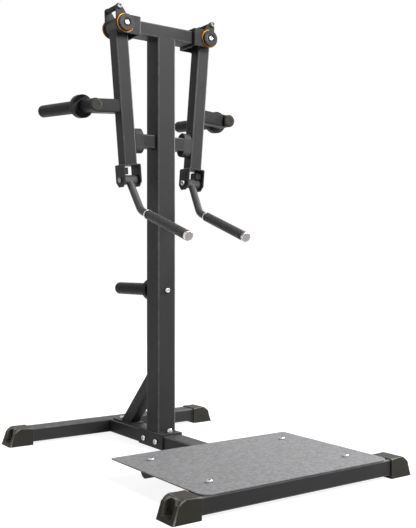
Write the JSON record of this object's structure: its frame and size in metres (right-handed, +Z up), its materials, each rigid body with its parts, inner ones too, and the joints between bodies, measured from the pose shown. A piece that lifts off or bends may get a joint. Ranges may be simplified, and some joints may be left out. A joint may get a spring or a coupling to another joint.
{
  "type": "standing lateral raise machine",
  "caption": "Free-standing post on a flat base with a footplate, two hinged arms with plate horns and swinging handles, and a storage horn, for raising the arms sideways against plates",
  "frame": {"origin": "On the floor, at the middle of the bounding box, which is on the object's middle plane. The column's axis is 0.199 m behind it.", "axes": "+Z is up. The footplate is on the -Y side and the plate horns point to +Y. +X is to the right of someone who looks at the machine from the footplate's side."},
  "size_m": [0.942, 1.235, 1.644],
  "materials": {
    "frame_paint": "satin dark grey powder coat",
    "platform_paint": "mid grey anti-slip coat with a fine grain",
    "foot_plastic": "matt brownish dark grey moulding",
    "black_plastic": "satin black moulding",
    "rubber": "matt black rubber",
    "bright_steel": "bright zinc plate",
    "chrome": "polished chrome"
  },
  "bodies": {
    "frame": {"front_cross_tube": "frame_paint", "rear_cross_tube": "frame_paint", "base_beam": "frame_paint", "column": "frame_paint", "rear_brace": "frame_paint", "crossbar": "frame_paint", "platform": "platform_paint", "platform_bolt_front_left": "bright_steel", "platform_bolt_front_right": "bright_steel", "platform_bolt_rear_left": "bright_steel", "platform_bolt_rear_right": "bright_steel", "saddle_bolt_front": "bright_steel", "saddle_bolt_rear": "bright_steel", "saddle_top_bolt": "bright_steel", "brace_bolt": "bright_steel", "foot_front_left": "foot_plastic", "foot_front_right": "foot_plastic", "foot_rear_left": "foot_plastic", "foot_rear_right": "foot_plastic", "storage_horn": "frame_paint", "storage_end_cap": "black_plastic", "storage_bolt": "bright_steel", "pivot_bracket_left": "frame_paint", "pivot_bracket_right": "frame_paint", "pivot_shaft_left": "bright_steel", "pivot_shaft_right": "bright_steel", "pivot_cap_front_left": "black_plastic", "pivot_cap_front_right": "black_plastic", "pivot_cap_rear_left": "black_plastic", "pivot_cap_rear_right": "black_plastic", "stop_pad_left": "rubber", "stop_pad_right": "rubber"},
    "arm_left": {"arm_left": "frame_paint", "bearing_front_left": "bright_steel", "bearing_rear_left": "bright_steel", "stop_bolt_left": "bright_steel", "stop_sleeve_left": "rubber", "weight_horn_left": "frame_paint", "horn_front_cap_left": "foot_plastic", "horn_rear_cap_left": "black_plastic", "handle_fork_left": "frame_paint", "handle_bolt_left": "bright_steel"},
    "arm_right": {"arm_right": "frame_paint", "bearing_front_right": "bright_steel", "bearing_rear_right": "bright_steel", "stop_bolt_right": "bright_steel", "stop_sleeve_right": "rubber", "weight_horn_right": "frame_paint", "horn_front_cap_right": "foot_plastic", "horn_rear_cap_right": "black_plastic", "handle_fork_right": "frame_paint", "handle_bolt_right": "bright_steel"},
    "handle_left": {"handle_rod_left": "frame_paint", "grip_ring_left": "chrome", "grip_left": "rubber", "grip_cap_left": "chrome"},
    "handle_right": {"handle_rod_right": "frame_paint", "grip_ring_right": "chrome", "grip_right": "rubber", "grip_cap_right": "chrome"}
  },
  "joints": [
    {"name": "arm_left_raise", "type": "hinge", "parent": "frame", "child": "arm_left", "pos_m": [-0.1854, 0.199, 1.5725], "axis": [0, 1, 0], "range_deg": [0, 64]},
    {"name": "arm_right_raise", "type": "hinge", "parent": "frame", "child": "arm_right", "pos_m": [0.1854, 0.199, 1.5725], "axis": [0, -1, 0], "range_deg": [0, 64]},
    {"name": "handle_left_swing", "type": "hinge", "parent": "arm_left", "child": "handle_left", "pos_m": [-0.13927, 0.199, 1.01139], "axis": [-0.9966, 0, -0.0819], "range_deg": [-45, 74]},
    {"name": "handle_right_swing", "type": "hinge", "parent": "arm_right", "child": "handle_right", "pos_m": [0.13927, 0.199, 1.01139], "axis": [-0.9966, 0, 0.0819], "range_deg": [-45, 74]}
  ]
}
